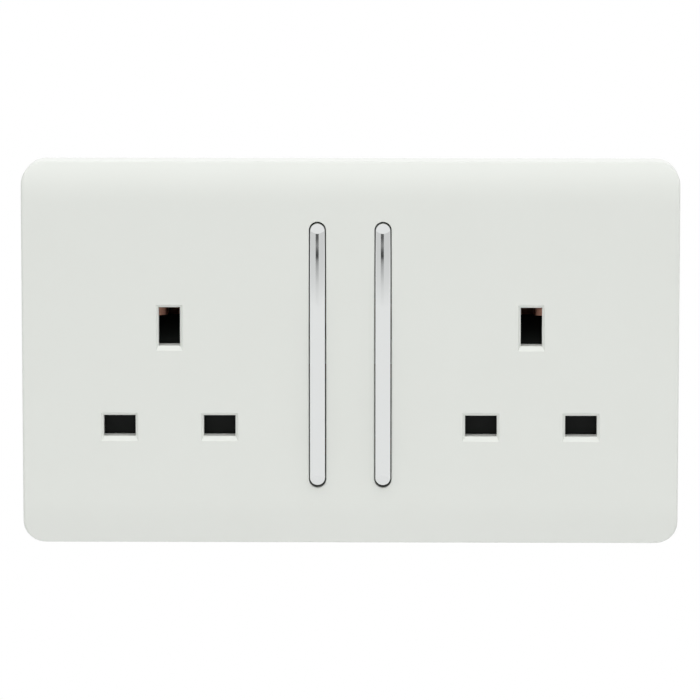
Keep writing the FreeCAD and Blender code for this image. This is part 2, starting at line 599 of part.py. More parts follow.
def rear_housing():
    shell = housing_form(0.0, WELL_RIM_Y, BACK_Y).cut(housing_form(-HOUSING_WALL, WELL_RIM_Y, FLOOR_Y))
    added, removed = [], []
    for x in NEUTRAL_X + LIVE_X:
        outside, inside = well(x, PIN_ROW_Z, WELL_HALF_WIDTH, WELL_HALF_HEIGHT, WELL_RIM_Y)
        added.append(outside)
        removed.append(inside)
    for x in OUTLETS.values():
        half_height = EARTH_CLIP_WIDTH / 2 + WELL_CLEARANCE
        outside, inside = well(x, EARTH_Z, WELL_HALF_HEIGHT, half_height, earth_rim_y())
        added.append(outside)
        removed.append(inside)
    added += strip_rests() + terminal_pockets()
    removed += strip_slots()
    for x, z in SCREW_PLACES:
        added.append(rod(TOWER_RADIUS, x, z, BOSS_END_Y, FLOOR_Y))
        removed.append(rod(SCREW_RADIUS + SCREW_HOLE_CLEARANCE, x, z, BOSS_END_Y, BACK_Y))
        removed.append(rod(SCREW_HEAD_RADIUS + SCREW_HOLE_CLEARANCE, x, z, SCREW_SEAT_Y, BACK_Y))
    for x, side, strip_y in terminal_places().values():
        driver = TERMINAL_HEAD_RADIUS + DRIVER_HOLE_CLEARANCE
        removed.append(rod(driver, x, terminal_middle_z(side), strip_y + STRIP_THICKNESS, BACK_Y))
        removed.append(Part.makeCylinder(TERMINAL_BORE_RADIUS + WELL_CLEARANCE, HOUSING_WALL * 2,
                                         Vector(x, strip_y - TERMINAL_BORE_BACK, side * TERMINAL_MOUTH_Z),
                                         Vector(0, 0, side)))
    return cut(fuse([shell] + added), removed)


def strip_rests():
    """Ribs on the floor under the strips, and the stops under the idle ends of the see-saws."""
    rests = [block((NEUTRAL_X[0], NEUTRAL_X[1]), (STRIP_BACK_Y, FLOOR_Y), around(NEUTRAL_BAR_Z, RIB / 2))]
    for x, pin_x in zip(SWITCHES.values(), LIVE_X):
        rests.append(block(sorted((x, pin_x)), (STRIP_BACK_Y, FLOOR_Y),
                           around(LIVE_STRIP_FOOT_Z + STRIP_WIDTH / 2, RIB / 2)))
        rests.append(block(around(x, SEESAW_WIDTH / 2), (STOP_TOP_Y, FLOOR_Y), (STOP_Z, STOP_Z + RIB)))
    rest_z = FEED_BAR_Z + STRIP_WIDTH / 2
    feed_half = ROCKER_SPACING / 2 + STRIP_WIDTH / 2
    feed_depth = (FEED_FRONT_Y + STRIP_THICKNESS, FLOOR_Y)
    for x in (-feed_half, feed_half - RIB):
        rests.append(block((x, x + RIB), feed_depth, around(rest_z, RIB)))
    return rests


def terminal_pockets():
    """Walls on both sides of each terminal block."""
    walls = []
    for x, side, strip_y in terminal_places().values():
        foot = TERMINAL_MOUTH_Z - TERMINAL_SIZE
        for way in (-1, 1):
            inner = x + way * (TERMINAL_SIZE / 2 + WELL_CLEARANCE)
            walls.append(block(sorted((inner, inner + way * RIB)), (strip_y - TERMINAL_DEPTH, FLOOR_Y),
                               sorted((side * foot, side * (CAVITY_HALF_HEIGHT + HOUSING_WALL / 2)))))
    return walls


def strip_slots():
    """Slots through the well and pocket walls for the strips that leave them."""
    room = STRIP_WIDTH / 2 + WELL_CLEARANCE
    slots = []
    for x in NEUTRAL_X:
        slots.append(block(around(x, room), (WELL_RIM_Y, STRIP_BACK_Y), (NEUTRAL_BAR_Z, PIN_ROW_Z)))
    for x in LIVE_X:
        slots.append(block(around(x, room), (WELL_RIM_Y, STRIP_BACK_Y), (PIN_ROW_Z, LIVE_STRIP_TOP_Z)))
    slots.append(block((NEUTRAL_X[0], NEUTRAL_X[1]), (STRIP_FRONT_Y - TERMINAL_DEPTH, STRIP_BACK_Y),
                       around(NEUTRAL_BAR_Z, room)))
    earth_reach = OUTLET_SPACING / 2
    slots.append(block((-earth_reach, earth_reach), (earth_rim_y(), FLOOR_Y), around(EARTH_Z, room)))
    return slots


def flat_clip(x):
    """A line or neutral clip: one strip folded into two leaves that grip the pin from above and below."""
    half = STRIP_THICKNESS / 2
    base = CLIP_HALF_GAP + CLIP_BASE_ROOM + half
    pinch = CLIP_HALF_GAP - CLIP_GRIP + half
    mouth = CLIP_HALF_GAP + CLIP_MOUTH_ROOM + half
    web_y = STRIP_FRONT_Y + half
    leaf = [(FLAT_CLIP_MOUTH_Y, mouth), (FLAT_CLIP_MOUTH_Y + CLIP_PINCH_DEPTH, pinch),
            (web_y - 2 * BEND_RADIUS, base), (web_y, base)]
    path = [(y, PIN_ROW_Z + z) for y, z in leaf] + [(y, PIN_ROW_Z - z) for y, z in leaf[::-1]]
    return folded_strip("yz", path, FLAT_CLIP_WIDTH, x)


def earth_clip(x, side):
    """An earth clip: a leaf on each side of the pin, the outer one with a lead-in tongue over the ramp."""
    half = STRIP_THICKNESS / 2
    base = CLIP_HALF_GAP + CLIP_BASE_ROOM + half
    pinch = CLIP_HALF_GAP + half
    mouth = CLIP_HALF_GAP + CLIP_MOUTH_ROOM + half
    web_y = EARTH_FRONT_Y + half
    start = earth_rim_y()
    leaf = [(start + EARTH_CLIP_LIP, mouth), (start + EARTH_CLIP_LIP + CLIP_PINCH_DEPTH, pinch),
            (web_y - 2 * BEND_RADIUS, base), (web_y, base)]
    grip = (leaf[1][0], pinch - EARTH_CLIP_GRIP)
    outer = [(start, mouth), grip] + leaf[2:]
    path = [(x + side * u, y) for y, u in outer] + [(x - side * u, y) for y, u in leaf[::-1]]
    clip = folded_strip("xy", path, EARTH_CLIP_WIDTH, EARTH_Z)
    tongue_y = start - EARTH_TONGUE_REACH
    lead_in = [(tongue_y, mouth), (tongue_y + EARTH_TONGUE_FOLD, grip[1]), grip]
    foot = RAMP_TOP_Z + EARTH_TONGUE_GAP
    top = EARTH_Z + EARTH_CLIP_WIDTH / 2
    tongue = folded_strip("xy", [(x + side * u, y) for y, u in lead_in], top - foot, (top + foot) / 2)
    return clip.fuse(tongue)


def screw_hole(x, side, strip_y):
    """The hole in a strip that lets a terminal screw through."""
    return rod(TERMINAL_SCREW_RADIUS + SCREW_HOLE_CLEARANCE, x, terminal_middle_z(side), strip_y,
               strip_y + STRIP_THICKNESS)


def neutral_bar():
    depth = (STRIP_FRONT_Y, STRIP_BACK_Y)
    terminal = terminal_places()["neutral_terminal"]
    pieces = [flat_clip(x) for x in NEUTRAL_X]
    pieces += [block(around(x, STRIP_WIDTH / 2), depth, (NEUTRAL_BAR_Z, PIN_ROW_Z)) for x in NEUTRAL_X]
    ends = (NEUTRAL_X[0] - STRIP_WIDTH / 2, NEUTRAL_X[1] + STRIP_WIDTH / 2)
    pieces.append(block(ends, depth, around(NEUTRAL_BAR_Z, STRIP_WIDTH / 2)))
    pieces.append(block(around(terminal[0], TERMINAL_SIZE / 2), depth,
                        around(terminal_middle_z(terminal[1]), TERMINAL_SIZE / 2)))
    return cut(fuse(pieces), [screw_hole(*terminal)])


def earth_bar():
    depth = (EARTH_FRONT_Y, FLOOR_Y)
    pieces = [earth_clip(OUTLETS["left"], -1), earth_clip(OUTLETS["right"], 1)]
    pieces.append(block((OUTLETS["left"], OUTLETS["right"]), depth, around(EARTH_Z, STRIP_WIDTH / 2)))
    terminals = [terminal_places()["earth_terminal_" + hand] for hand in ("left", "right")]
    for x, side, strip_y in terminals:
        pieces.append(block(around(x, STRIP_WIDTH / 2), depth, (EARTH_Z, TERMINAL_MOUTH_Z)))
        pieces.append(block(around(x, TERMINAL_SIZE / 2), depth,
                            around(terminal_middle_z(side), TERMINAL_SIZE / 2)))
    return cut(fuse(pieces), [screw_hole(*terminal) for terminal in terminals])


def live_feed_bar():
    depth = (FEED_FRONT_Y, FEED_FRONT_Y + STRIP_THICKNESS)
    terminal = terminal_places()["live_terminal"]
    half = ROCKER_SPACING / 2 + STRIP_WIDTH / 2
    pieces = [block((-half, half), depth, around(FEED_BAR_Z, STRIP_WIDTH / 2)),
              block(around(0, STRIP_WIDTH / 2), depth, (FEED_BAR_Z, TERMINAL_MOUTH_Z)),
              block(around(0, TERMINAL_SIZE / 2), depth, around(terminal_middle_z(1), TERMINAL_SIZE / 2))]
    return cut(fuse(pieces), [screw_hole(*terminal)])


def live_contact(x, pin_x):
    """A line clip and its strip, with the notched cheeks that carry the switch's see-saw."""
    depth = (STRIP_FRONT_Y, STRIP_BACK_Y)
    run = (LIVE_STRIP_FOOT_Z, LIVE_STRIP_TOP_Z)
    toward = 1 if pin_x > x else -1
    cheek_z = around(ROCKER_Z, CHEEK_HALF_HEIGHT)
    pieces = [flat_clip(pin_x), block(around(pin_x, STRIP_WIDTH / 2), depth, (PIN_ROW_Z, LIVE_STRIP_TOP_Z))]
    pieces.append(block(sorted((x, pin_x + toward * STRIP_WIDTH / 2)), depth, run))
    pieces.append(block(around(x, BRACKET_HALF_WIDTH), depth, (run[0], cheek_z[1])))
    front = SEESAW_Y - SEESAW_PIN_RADIUS
    for side in (-1, 1):
        inner = x + side * (BRACKET_HALF_WIDTH - STRIP_THICKNESS)
        cheek_x = sorted((inner, inner + side * STRIP_THICKNESS))
        pieces.append(block(cheek_x, (front, STRIP_BACK_Y), cheek_z))
    notch_radius = SEESAW_PIN_RADIUS + RUNNING_CLEARANCE
    notch = pivot_pin(notch_radius, BRACKET_HALF_WIDTH, x, SEESAW_Y)
    entry = block(around(x, BRACKET_HALF_WIDTH), (front, SEESAW_Y), around(ROCKER_Z, notch_radius))
    return cut(fuse(pieces), [notch, entry])


def moving_contact(x):
    """The see-saw blade with its two pivot pins, at the off position."""
    half = STRIP_THICKNESS / 2
    blade = prism("xz", rectangle(SEESAW_WIDTH / 2, (SEESAW_STOP_ARM + CONTACT_ARM + CONTACT_TAIL) / 2, x,
                                  ROCKER_Z + (CONTACT_ARM + CONTACT_TAIL - SEESAW_STOP_ARM) / 2),
                  SEESAW_WIDTH / 4, SEESAW_Y - half, SEESAW_Y + half)
    pin = pivot_pin(SEESAW_PIN_RADIUS, BRACKET_HALF_WIDTH, x, SEESAW_Y)
    return tilted(fuse([blade, pin]), x, SEESAW_Y, SEESAW_TILT)


def moving_tip(x):
    """The domed contact rivet on the back of the see-saw, at the off position."""
    back = SEESAW_Y + STRIP_THICKNESS / 2
    z = ROCKER_Z + CONTACT_ARM
    rivet = rod(TIP_RADIUS, x, z, back, back + TIP_THICKNESS)
    dome = Part.makeSphere(TIP_DOME_RADIUS, Vector(x, SEESAW_Y + DOME_CENTRE, z))
    return tilted(rivet.common(dome), x, SEESAW_Y, SEESAW_TILT)


def fixed_tips():
    return Part.makeCompound([rod(TIP_RADIUS, x, FEED_BAR_Z, FIXED_TIP_FRONT_Y, FEED_FRONT_Y)
                              for x in SWITCHES.values()])


def rocker_cap(x):
    """The bright bar: bowed along its length, crowned across it, with sloping round ends."""
    half_width = ROCKER_WIDTH / 2
    half_length = ROCKER_LENGTH / 2
    knee = half_length - ROCKER_END_LENGTH
    crest_y = FACE_Y - ROCKER_PROUD - bow_sag(knee)
    crown = ROCKER_CROWN_RADIUS - math.sqrt(ROCKER_CROWN_RADIUS ** 2 - half_width ** 2)
    back_y = ARM_FRONT_Y + ROCKER_BACK_DEPTH
    edge_y = crest_y + crown
    corners = [Vector(x - half_width, edge_y, ROCKER_Z), Vector(x + half_width, edge_y, ROCKER_Z),
               Vector(x + half_width, back_y, ROCKER_Z), Vector(x - half_width, back_y, ROCKER_Z)]
    section = [Part.Arc(corners[0], Vector(x, crest_y, ROCKER_Z), corners[1]).toShape()]
    section += [Part.LineSegment(corners[i], corners[(i + 1) % 4]).toShape() for i in (1, 2, 3)]
    axis_spot = Vector(x, crest_y + ROCKER_BOW_RADIUS, ROCKER_Z)
    sweep = 2 * math.degrees(math.asin((half_length + half_width) / ROCKER_BOW_RADIUS))
    start = Part.Face(Part.Wire(section)).rotated(axis_spot, Vector(1, 0, 0), -sweep / 2)
    bowed = start.revolve(axis_spot, Vector(1, 0, 0), sweep)
    pill = prism("xz", rectangle(half_width, half_length, x, ROCKER_Z), half_width, crest_y, ARM_FRONT_Y)
    bar = bowed.common(pill)
    bar = cut(bar, [rocker_end_slope(x, side, knee, crest_y) for side in (-1, 1)])
    rim = [edge for edge in bar.Edges if edge.BoundBox.YMax < ARM_FRONT_Y - ROCKER_EDGE_RADIUS]
    bar = bar.makeFillet(ROCKER_EDGE_RADIUS, rim)
    socket_y = ARM_FRONT_Y - PEG_LENGTH - RUNNING_CLEARANCE
    sockets = [rod(PEG_RADIUS + RUNNING_CLEARANCE, x, z, socket_y, ARM_FRONT_Y)
               for z in around(ROCKER_Z, PEG_SPACING / 2)]
    return tilted(cut(bar, sockets), x, TRUNNION_Y, -ROCKER_TILT)


def bow_sag(distance):
    """How far the bow falls behind its crest at a distance along the rocker."""
    return ROCKER_BOW_RADIUS - math.sqrt(ROCKER_BOW_RADIUS ** 2 - distance ** 2)


def rocker_end_slope(x, side, knee, crest_y):
    """The tool that slopes one round end of a rocker cap away from the bow."""
    knee_y = FACE_Y - ROCKER_PROUD
    end = ROCKER_LENGTH / 2
    corners = [(knee_y, knee), (knee_y + ROCKER_END_FALL, end), (crest_y, end), (crest_y, knee)]
    corners = [(y, ROCKER_Z + side * z) for y, z in corners]
    return prism("yz", corners, 0, x - ROCKER_WIDTH, x + ROCKER_WIDTH)


def rocker_arm(x):
    """The insulating lever under a cap: spine, pegs, trunnion pins and the stem bored for the toggle."""
    half_length = ARM_LENGTH / 2
    flank = ARM_LENGTH / 2 - ARM_SPINE_DEPTH
    back_y = ARM_FRONT_Y + ARM_SPINE_DEPTH
    spine = prism("yz", [(ARM_FRONT_Y, ROCKER_Z - half_length), (ARM_FRONT_Y, ROCKER_Z + half_length),
                         (back_y, ROCKER_Z + flank), (back_y, ROCKER_Z - flank)], 0,
                  x - ARM_WIDTH / 2, x + ARM_WIDTH / 2)
    root_y = ARM_FRONT_Y + ARM_SPINE_DEPTH / 2
    low, high = around(ROCKER_Z, STEM_HEIGHT / 2)
    stem = prism("yz", [(root_y, low), (STEM_END_Y, low), (STEM_END_Y, high), (root_y, high)],
                 [0, STEM_HEIGHT / 4, STEM_HEIGHT / 4, 0], x - STEM_WIDTH / 2, x + STEM_WIDTH / 2)
    trunnion = pivot_pin(TRUNNION_RADIUS, TRUNNION_REACH, x, TRUNNION_Y)
    pegs = [rod(PEG_RADIUS, x, z, ARM_FRONT_Y - PEG_LENGTH, root_y)
            for z in around(ROCKER_Z, PEG_SPACING / 2)]
    bore = rod(PLUNGER_RADIUS + RUNNING_CLEARANCE, x, ROCKER_Z, spring_foot_y(), STEM_END_Y)
    return tilted(cut(fuse([spine, stem, trunnion] + pegs), [bore]), x, TRUNNION_Y, -ROCKER_TILT)


def spring_foot_y():
    """The blind end of a stem's bore, where the toggle spring sits."""
    return STEM_END_Y - PLUNGER_TAIL - PLUNGER_SPRING_LENGTH


def plunger(x):
    """The round-nosed toggle pin that slides in a stem and presses on the see-saw."""
    shaft = rod(PLUNGER_RADIUS, x, ROCKER_Z, STEM_END_Y - PLUNGER_TAIL, PLUNGER_TIP_Y - PLUNGER_RADIUS)
    nose = Part.makeSphere(PLUNGER_RADIUS, Vector(x, PLUNGER_TIP_Y - PLUNGER_RADIUS, ROCKER_Z))
    return tilted(fuse([shaft, nose]), x, TRUNNION_Y, -ROCKER_TILT)


def plunger_spring(x):
    spring = coil_spring(PLUNGER_RADIUS, PLUNGER_SPRING_WIRE, PLUNGER_SPRING_TURNS, PLUNGER_SPRING_LENGTH)
    spring.rotate(Vector(0, 0, 0), Vector(1, 0, 0), -90)
    spring.translate(Vector(x, spring_foot_y(), ROCKER_Z))
    return tilted(spring, x, TRUNNION_Y, -ROCKER_TILT)


def shutter(x):
    """A sliding shutter: a bar over both flat apertures, a stem, and the ramp the earth pin pushes down."""
    stem = SHUTTER_STEM_WIDTH / 2
    bar = SHUTTER_BAR_HALF_WIDTH
    root_z = RAMP_FOOT_Z - 2 * RAMP_ROOT
    stem_top_z = RAMP_FOOT_Z - RAMP_ROOT
    half = [(bar, SHUTTER_BAR_FOOT_Z), (bar, SHUTTER_BAR_TOP_Z),
            (stem, SHUTTER_BAR_TOP_Z), (stem, stem_top_z)]
    outline = [(x + u, z) for u, z in half] + [(x - u, z) for u, z in half[::-1]]
    rounds = [SHUTTER_OVERLAP, SHUTTER_OVERLAP, 0, SHUTTER_OVERLAP]
    plate = prism("xz", outline, rounds + rounds[::-1], SHUTTER_FRONT_Y, SHUTTER_BACK_Y)
    slope = [(SHUTTER_FRONT_Y, root_z), (SHUTTER_FRONT_Y, RAMP_FOOT_Z), (RAMP_BACK_Y, RAMP_TOP_Z),
             (RAMP_BACK_Y, RAMP_TOP_Z - RAMP_ROOT), (SHUTTER_BACK_Y, root_z)]
    ramp = prism("yz", slope, 0, x - RAMP_WIDTH / 2, x + RAMP_WIDTH / 2)
    lug_depth = (SHUTTER_FRONT_Y, SHUTTER_SPRING_Y + SHUTTER_SPRING_RADIUS)
    lug_height = (SHUTTER_BAR_FOOT_Z, SHUTTER_BAR_FOOT_Z + SPRING_LUG_HEIGHT)
    lug = block(around(x, SPRING_LUG_WIDTH / 2), lug_depth, lug_height)
    return fuse([plate, ramp, lug])


def shutter_spring(x):
    length = SHUTTER_BAR_FOOT_Z + CAVITY_HALF_HEIGHT
    spring = coil_spring(SHUTTER_SPRING_RADIUS, SHUTTER_SPRING_WIRE, SHUTTER_SPRING_TURNS, length)
    return spring.translated(Vector(x, SHUTTER_SPRING_Y, -CAVITY_HALF_HEIGHT))


def all_pieces():
    """Every piece by its name."""
    places = terminal_places().values()
    pieces = {
        "front_plate": front_plate(),
        "mounting_frame": mounting_frame(),
        "rear_housing": rear_housing(),
        "housing_screws": Part.makeCompound([housing_screw(x, z) for x, z in SCREW_PLACES]),
        "neutral_bar": neutral_bar(),
        "earth_bar": earth_bar(),
        "live_feed_bar": live_feed_bar(),
        "fixed_tips": fixed_tips(),
        "terminal_screws": Part.makeCompound([terminal_screw(*place) for place in places]),
    }
    for name, place in terminal_places().items():
        pieces[name] = terminal_block(*place)
    for hand, x in OUTLETS.items():
        pieces["shutter_" + hand] = shutter(x)
        pieces["shutter_spring_" + hand] = shutter_spring(x)
    for (hand, x), pin_x in zip(SWITCHES.items(), LIVE_X):
        pieces["live_contact_" + hand] = live_contact(x, pin_x)
        pieces["moving_contact_" + hand] = moving_contact(x)
        pieces["moving_tip_" + hand] = moving_tip(x)
        pieces["rocker_cap_" + hand] = rocker_cap(x)
        pieces["rocker_arm_" + hand] = rocker_arm(x)
        pieces["plunger_" + hand] = plunger(x)
        pieces["plunger_spring_" + hand] = plunger_spring(x)
    return pieces


os.makedirs("parts", exist_ok=True)
for piece_name, piece in all_pieces().items():
    piece.exportStep(os.path.join("parts", piece_name + ".step"))
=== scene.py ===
"""Looks for the twin switched wall socket: camera, studio, finishes, polished rocker caps and wire springs.

Units are metres in the frame of the part: X to the right, Y back into the wall, Z up.
The caps and springs are worked out in millimetres, and their points are turned into metres at the end.
"""

import json
import math

import bmesh
import bpy
import numpy as np
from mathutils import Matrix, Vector

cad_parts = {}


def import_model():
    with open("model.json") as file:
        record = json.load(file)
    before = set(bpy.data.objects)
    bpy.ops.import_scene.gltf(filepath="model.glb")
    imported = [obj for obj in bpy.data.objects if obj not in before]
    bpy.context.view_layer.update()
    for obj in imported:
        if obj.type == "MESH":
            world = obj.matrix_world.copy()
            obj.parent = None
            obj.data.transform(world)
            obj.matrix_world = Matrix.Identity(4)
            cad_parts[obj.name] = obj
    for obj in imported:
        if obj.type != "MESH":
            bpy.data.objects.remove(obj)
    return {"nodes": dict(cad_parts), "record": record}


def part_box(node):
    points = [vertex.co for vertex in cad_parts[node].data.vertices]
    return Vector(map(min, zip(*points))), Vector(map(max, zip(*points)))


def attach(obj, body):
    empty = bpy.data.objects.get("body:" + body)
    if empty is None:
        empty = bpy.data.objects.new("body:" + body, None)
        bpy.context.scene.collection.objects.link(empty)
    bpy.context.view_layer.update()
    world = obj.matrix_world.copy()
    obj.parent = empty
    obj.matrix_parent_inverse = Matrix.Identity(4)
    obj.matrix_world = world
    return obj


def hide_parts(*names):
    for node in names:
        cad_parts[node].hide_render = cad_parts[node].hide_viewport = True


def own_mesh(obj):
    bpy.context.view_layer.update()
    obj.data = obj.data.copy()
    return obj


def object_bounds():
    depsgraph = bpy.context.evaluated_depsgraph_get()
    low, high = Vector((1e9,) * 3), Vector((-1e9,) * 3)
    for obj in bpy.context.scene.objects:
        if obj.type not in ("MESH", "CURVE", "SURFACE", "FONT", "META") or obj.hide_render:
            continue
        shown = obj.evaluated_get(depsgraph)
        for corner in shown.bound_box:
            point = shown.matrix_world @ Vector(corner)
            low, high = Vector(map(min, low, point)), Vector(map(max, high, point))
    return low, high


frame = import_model()
CAD_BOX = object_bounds()
MM = 0.001

# Camera, from the places of the apertures and the plate's corners in the photograph
CAMERA_ELEVATION = math.radians(8.0)
CAMERA_AZIMUTH = math.radians(0.775)
CAMERA_DISTANCE = 1179.3 * MM
CAMERA_LENS = 273.8
CAMERA_REACH = 100.0
SENSOR_WIDTH = 36.0
AIM_RIGHT = -0.05 * MM
AIM_UP = 0.97 * MM

# Rocker caps, in millimetres: the bow, crown and ends that the part gives them
CAP_SIDES = {"left": -7.25, "right": 7.25}
CAP_MIDDLE_Z = -0.2
CAP_LENGTH = 58.4
CAP_WIDTH = 3.35
CAP_FACE_Y = -9.5
CAP_PROUD = 0.65
CAP_BACK_Y = -6.9
CAP_BOW_RADIUS = 600.0
CAP_CROWN_RADIUS = 9.0
CAP_END_LENGTH = 2.25
CAP_END_FALL = 0.6
CAP_EDGE_RADIUS = 0.2
CAP_KNEE_BLEND = 0.005
CAP_PIVOT_Y = -3.6
CAP_TILT = math.radians(1.5)
CAP_STATIONS = 320
CAP_END_STATIONS = 24
CAP_FRONT_POINTS = 49

# Springs, in millimetres: the wire springs of the part, and the travel of what they push
TOGGLE_SPRING = {"radius": 0.9, "wire": 0.25, "turns": 4, "length": 2.4, "travel": 1.0}
TOGGLE_AXIS = (0.0, math.cos(CAP_TILT), -math.sin(CAP_TILT))
SHUTTER_SPRING = {"radius": 1.5, "wire": 0.35, "turns": 7, "length": 11.5, "travel": 5.6}
SHUTTER_AXIS = (0.0, 0.0, 1.0)
SPRING_GAP = 0.02
SPRING_STEPS = 32
SPRING_RING_POINTS = 12

# Smooth pieces: edges sharper than the crease stay sharp
CREASE = math.radians(40)
# Points closer than this, in metres, become one
WELD = 1e-9

# Patterns in the finishes: size of a spot in metres, its detail, and how far it moves the roughness
NOISE_MIDDLE = 0.5
CLOUD_GRAIN = 18 * MM
CLOUD_DETAIL = 3.0
CLOUD_SPREAD = 0.08
FINE_DETAIL = 2.0
FINE_SPREAD = 0.06
PATCH_GRAIN = 3.5 * MM
PATCH_DETAIL = 4.0
PATCH_MIDDLE = 0.45
PATCH_SPREAD = 0.18
TARNISH_STOPS = [(0.42, 0.0), (0.72, 1.0)]
LINE_GRAIN = 0.25 * MM
LINE_DETAIL = 2.0
LINE_SPREAD = 0.12
LINE_DEPTH = 0.012 * MM
LINE_STRETCH = 20.0
# Painted shade: depths along Y, in metres, over which a metal darkens to its painted deep shade, standing
# in for the shade deep in the apertures
PAINTED_SHADE_DEPTHS = (1 * MM, 5 * MM)

# Which way the fine lines of a metal are drawn out
EVEN = (1.0, 1.0, 1.0)
ALONG_X = (LINE_STRETCH, 1.0, 1.0)
ALONG_Y = (1.0, LINE_STRETCH, 1.0)
ALONG_Z = (1.0, 1.0, LINE_STRETCH)

# Plastics: two shades, roughness, grain and depth of the surface, and shader values that stay fixed
MOULDINGS = {
    "plate_white": {"light": (0.705, 0.725, 0.690), "dark": (0.690, 0.708, 0.672), "roughness": 0.33,
                    "grain": 0.5 * MM, "depth": 0.0012 * MM,
                    "fixed": {"Specular IOR Level": 0.5, "Coat Weight": 0.15}},
    "frame_white": {"light": (0.72, 0.72, 0.70), "dark": (0.67, 0.67, 0.65), "roughness": 0.55,
                    "grain": 0.35 * MM, "depth": 0.004 * MM},
    "housing_black": {"light": (0.030, 0.030, 0.031), "dark": (0.020, 0.020, 0.021), "roughness": 0.50,
                      "grain": 0.35 * MM, "depth": 0.005 * MM},
    "shutter_black": {"light": (0.0072, 0.0086, 0.0078), "dark": (0.0042, 0.0050, 0.0045),
                      "roughness": 0.38, "grain": 0.3 * MM, "depth": 0.003 * MM,
                      "fixed": {"Specular IOR Level": 0.12}},
    "arm_nylon": {"light": (0.66, 0.63, 0.54), "dark": (0.58, 0.55, 0.46), "roughness": 0.45,
                  "grain": 0.4 * MM, "depth": 0.003 * MM},
}

# Metals: two shades, roughness, the way of the lines, and perhaps a painted shade deep inside the part
METALS = {
    # The copper's last colour is a painted deep shade, a dark tone deep in the part that stands in for
    # shade
    "contact_copper": {"bright": (0.86, 0.46, 0.35), "dull": (0.60, 0.30, 0.22), "roughness": 0.42,
                       "along": ALONG_X, "painted_deep_shade": (0.26, 0.125, 0.085)},
    "terminal_brass": {"bright": (0.83, 0.66, 0.34), "dull": (0.58, 0.43, 0.20), "roughness": 0.32,
                       "along": ALONG_Z},
    "tip_silver": {"bright": (0.88, 0.87, 0.83), "dull": (0.62, 0.60, 0.56), "roughness": 0.30,
                   "along": EVEN},
    "screw_steel": {"bright": (0.70, 0.70, 0.68), "dull": (0.50, 0.50, 0.47), "roughness": 0.30,
                    "along": ALONG_X},
    "plunger_steel": {"bright": (0.66, 0.66, 0.67), "dull": (0.48, 0.48, 0.50), "roughness": 0.25,
                      "along": ALONG_Y},
    "spring_steel": {"bright": (0.52, 0.52, 0.54), "dull": (0.34, 0.34, 0.36), "roughness": 0.32,
                     "along": EVEN},
}

# Chrome: two shades, roughness, a haze that moves it, and a ripple of the surface
CHROME_SHADES = ((0.728, 0.743, 0.738), (0.745, 0.760, 0.755))
CHROME_ROUGHNESS = 0.02
HAZE_GRAIN = 6 * MM
HAZE_DETAIL = 3.0
HAZE_SPREAD = 0.02
RIPPLE_GRAIN = 4 * MM
RIPPLE_DETAIL = 1.0
RIPPLE_DEPTH = 0.0008 * MM

# Studio: levels are shares of plain white, places are metres from the part
WHITE = (1.0, 1.0, 1.0, 1.0)
WORLD_LEVEL = 0.20
LIGHTS = {
    "top_light": {"place": (0.0, -0.55, 1.0), "size": 1.5, "power": 18.4},
    "left_light": {"place": (-1.25, -0.15, 0.1), "size": 1.3, "power": 2.8},
    "right_light": {"place": (1.25, -0.15, 0.1), "size": 1.3, "power": 4.2},
    "under_light": {"place": (0.0, -0.36, -0.55), "size": 0.4, "power": 1.36},
    "back_light": {"place": (0.0, 1.1, 0.25), "size": 1.2, "power": 8.0},
}
FLOOR_DROP = 0.6
FLOOR_HALF_SIZE = 6.0
FLOOR_COLOUR = (0.85, 0.85, 0.85)
FLOOR_SHADOW_SHARE = 0.2
FLOOR_FADE = (0.5, 1.2)

# What the chrome shows: panels in front of the part, with levels by share of their height
PANELS = {
    "dim_screen": {"x": 0.0, "y": -1.6, "half_width": 1.1, "heights": (-0.055, 0.30),
                   "levels": [(0.02, 0.97), (0.09, 0.88), (0.16, 0.83), (0.25, 0.785)]},
    "camera_hood": {"x": -0.05, "y": -1.35, "half_width": 0.10, "heights": (-0.042, 0.078),
                    "levels": [(0.03, 0.94), (0.22, 0.82), (0.34, 0.65), (0.47, 0.48), (0.53, 0.34),
                               (0.57, 0.05), (0.63, 0.10), (0.71, 0.34), (0.80, 0.13)]},
}


class Signal:
    """One output socket of a shader tree. Arithmetic on it adds Math nodes to the same tree."""

    def __init__(self, tree, socket):
        self.tree = tree
        self.socket = socket

    def node(self, kind, settings=None, inputs=None, output=0):
        """A new node of a kind: its settings first, then a value or link for each input.

        The setting called stops fills a ramp. Gives the signal of one output, or None where there is none.
        """
        made = self.tree.nodes.new("ShaderNode" + kind)
        for name, value in (settings or {}).items():
            if name == "stops":
                set_stops(made.color_ramp, value)
            else:
                setattr(made, name, value)
        for name, value in (inputs or {}).items():
            plug = find_plug(made.inputs, name)
            if isinstance(value, Signal):
                self.tree.links.new(value.socket, plug)
            else:
                plug.default_value = value
        if not made.outputs:
            return None
        return Signal(self.tree, find_plug(made.outputs, output))

    def math(self, operation, first, second):
        """The result of one Math node on two signals or numbers."""
        return self.node("Math", {"operation": operation}, {0: first, 1: second})

    def __add__(self, other):
        return self.math("ADD", self, other)

    def __radd__(self, other):
        return self.math("ADD", other, self)

    def __sub__(self, other):
        return self.math("SUBTRACT", self, other)

    def __rsub__(self, other):
        return self.math("SUBTRACT", other, self)

    def __mul__(self, other):
        return self.math("MULTIPLY", self, other)

    def __rmul__(self, other):
        return self.math("MULTIPLY", other, self)


def find_plug(plugs, key):
    """A socket by its number, its identifier or the name it shows."""
    for plug in plugs:
        if plug.identifier == key:
            return plug
    return plugs[key]


def set_stops(ramp, stops):
    """Puts a ramp's stops, each a position and a grey level, in place of the two it starts with."""
    while len(ramp.elements) < len(stops):
        ramp.elements.new(1.0)
    for element, (position, level) in zip(ramp.elements, stops):
        element.position = position
        element.color = (level, level, level, 1.0)


def new_material(name):
    """An empty material and the position signal that its patterns read."""
    material = bpy.data.materials.new(name)
    material.use_nodes = True
    material.node_tree.nodes.clear()
    return material, Signal(material.node_tree, None).node("TexCoord", output="Object")


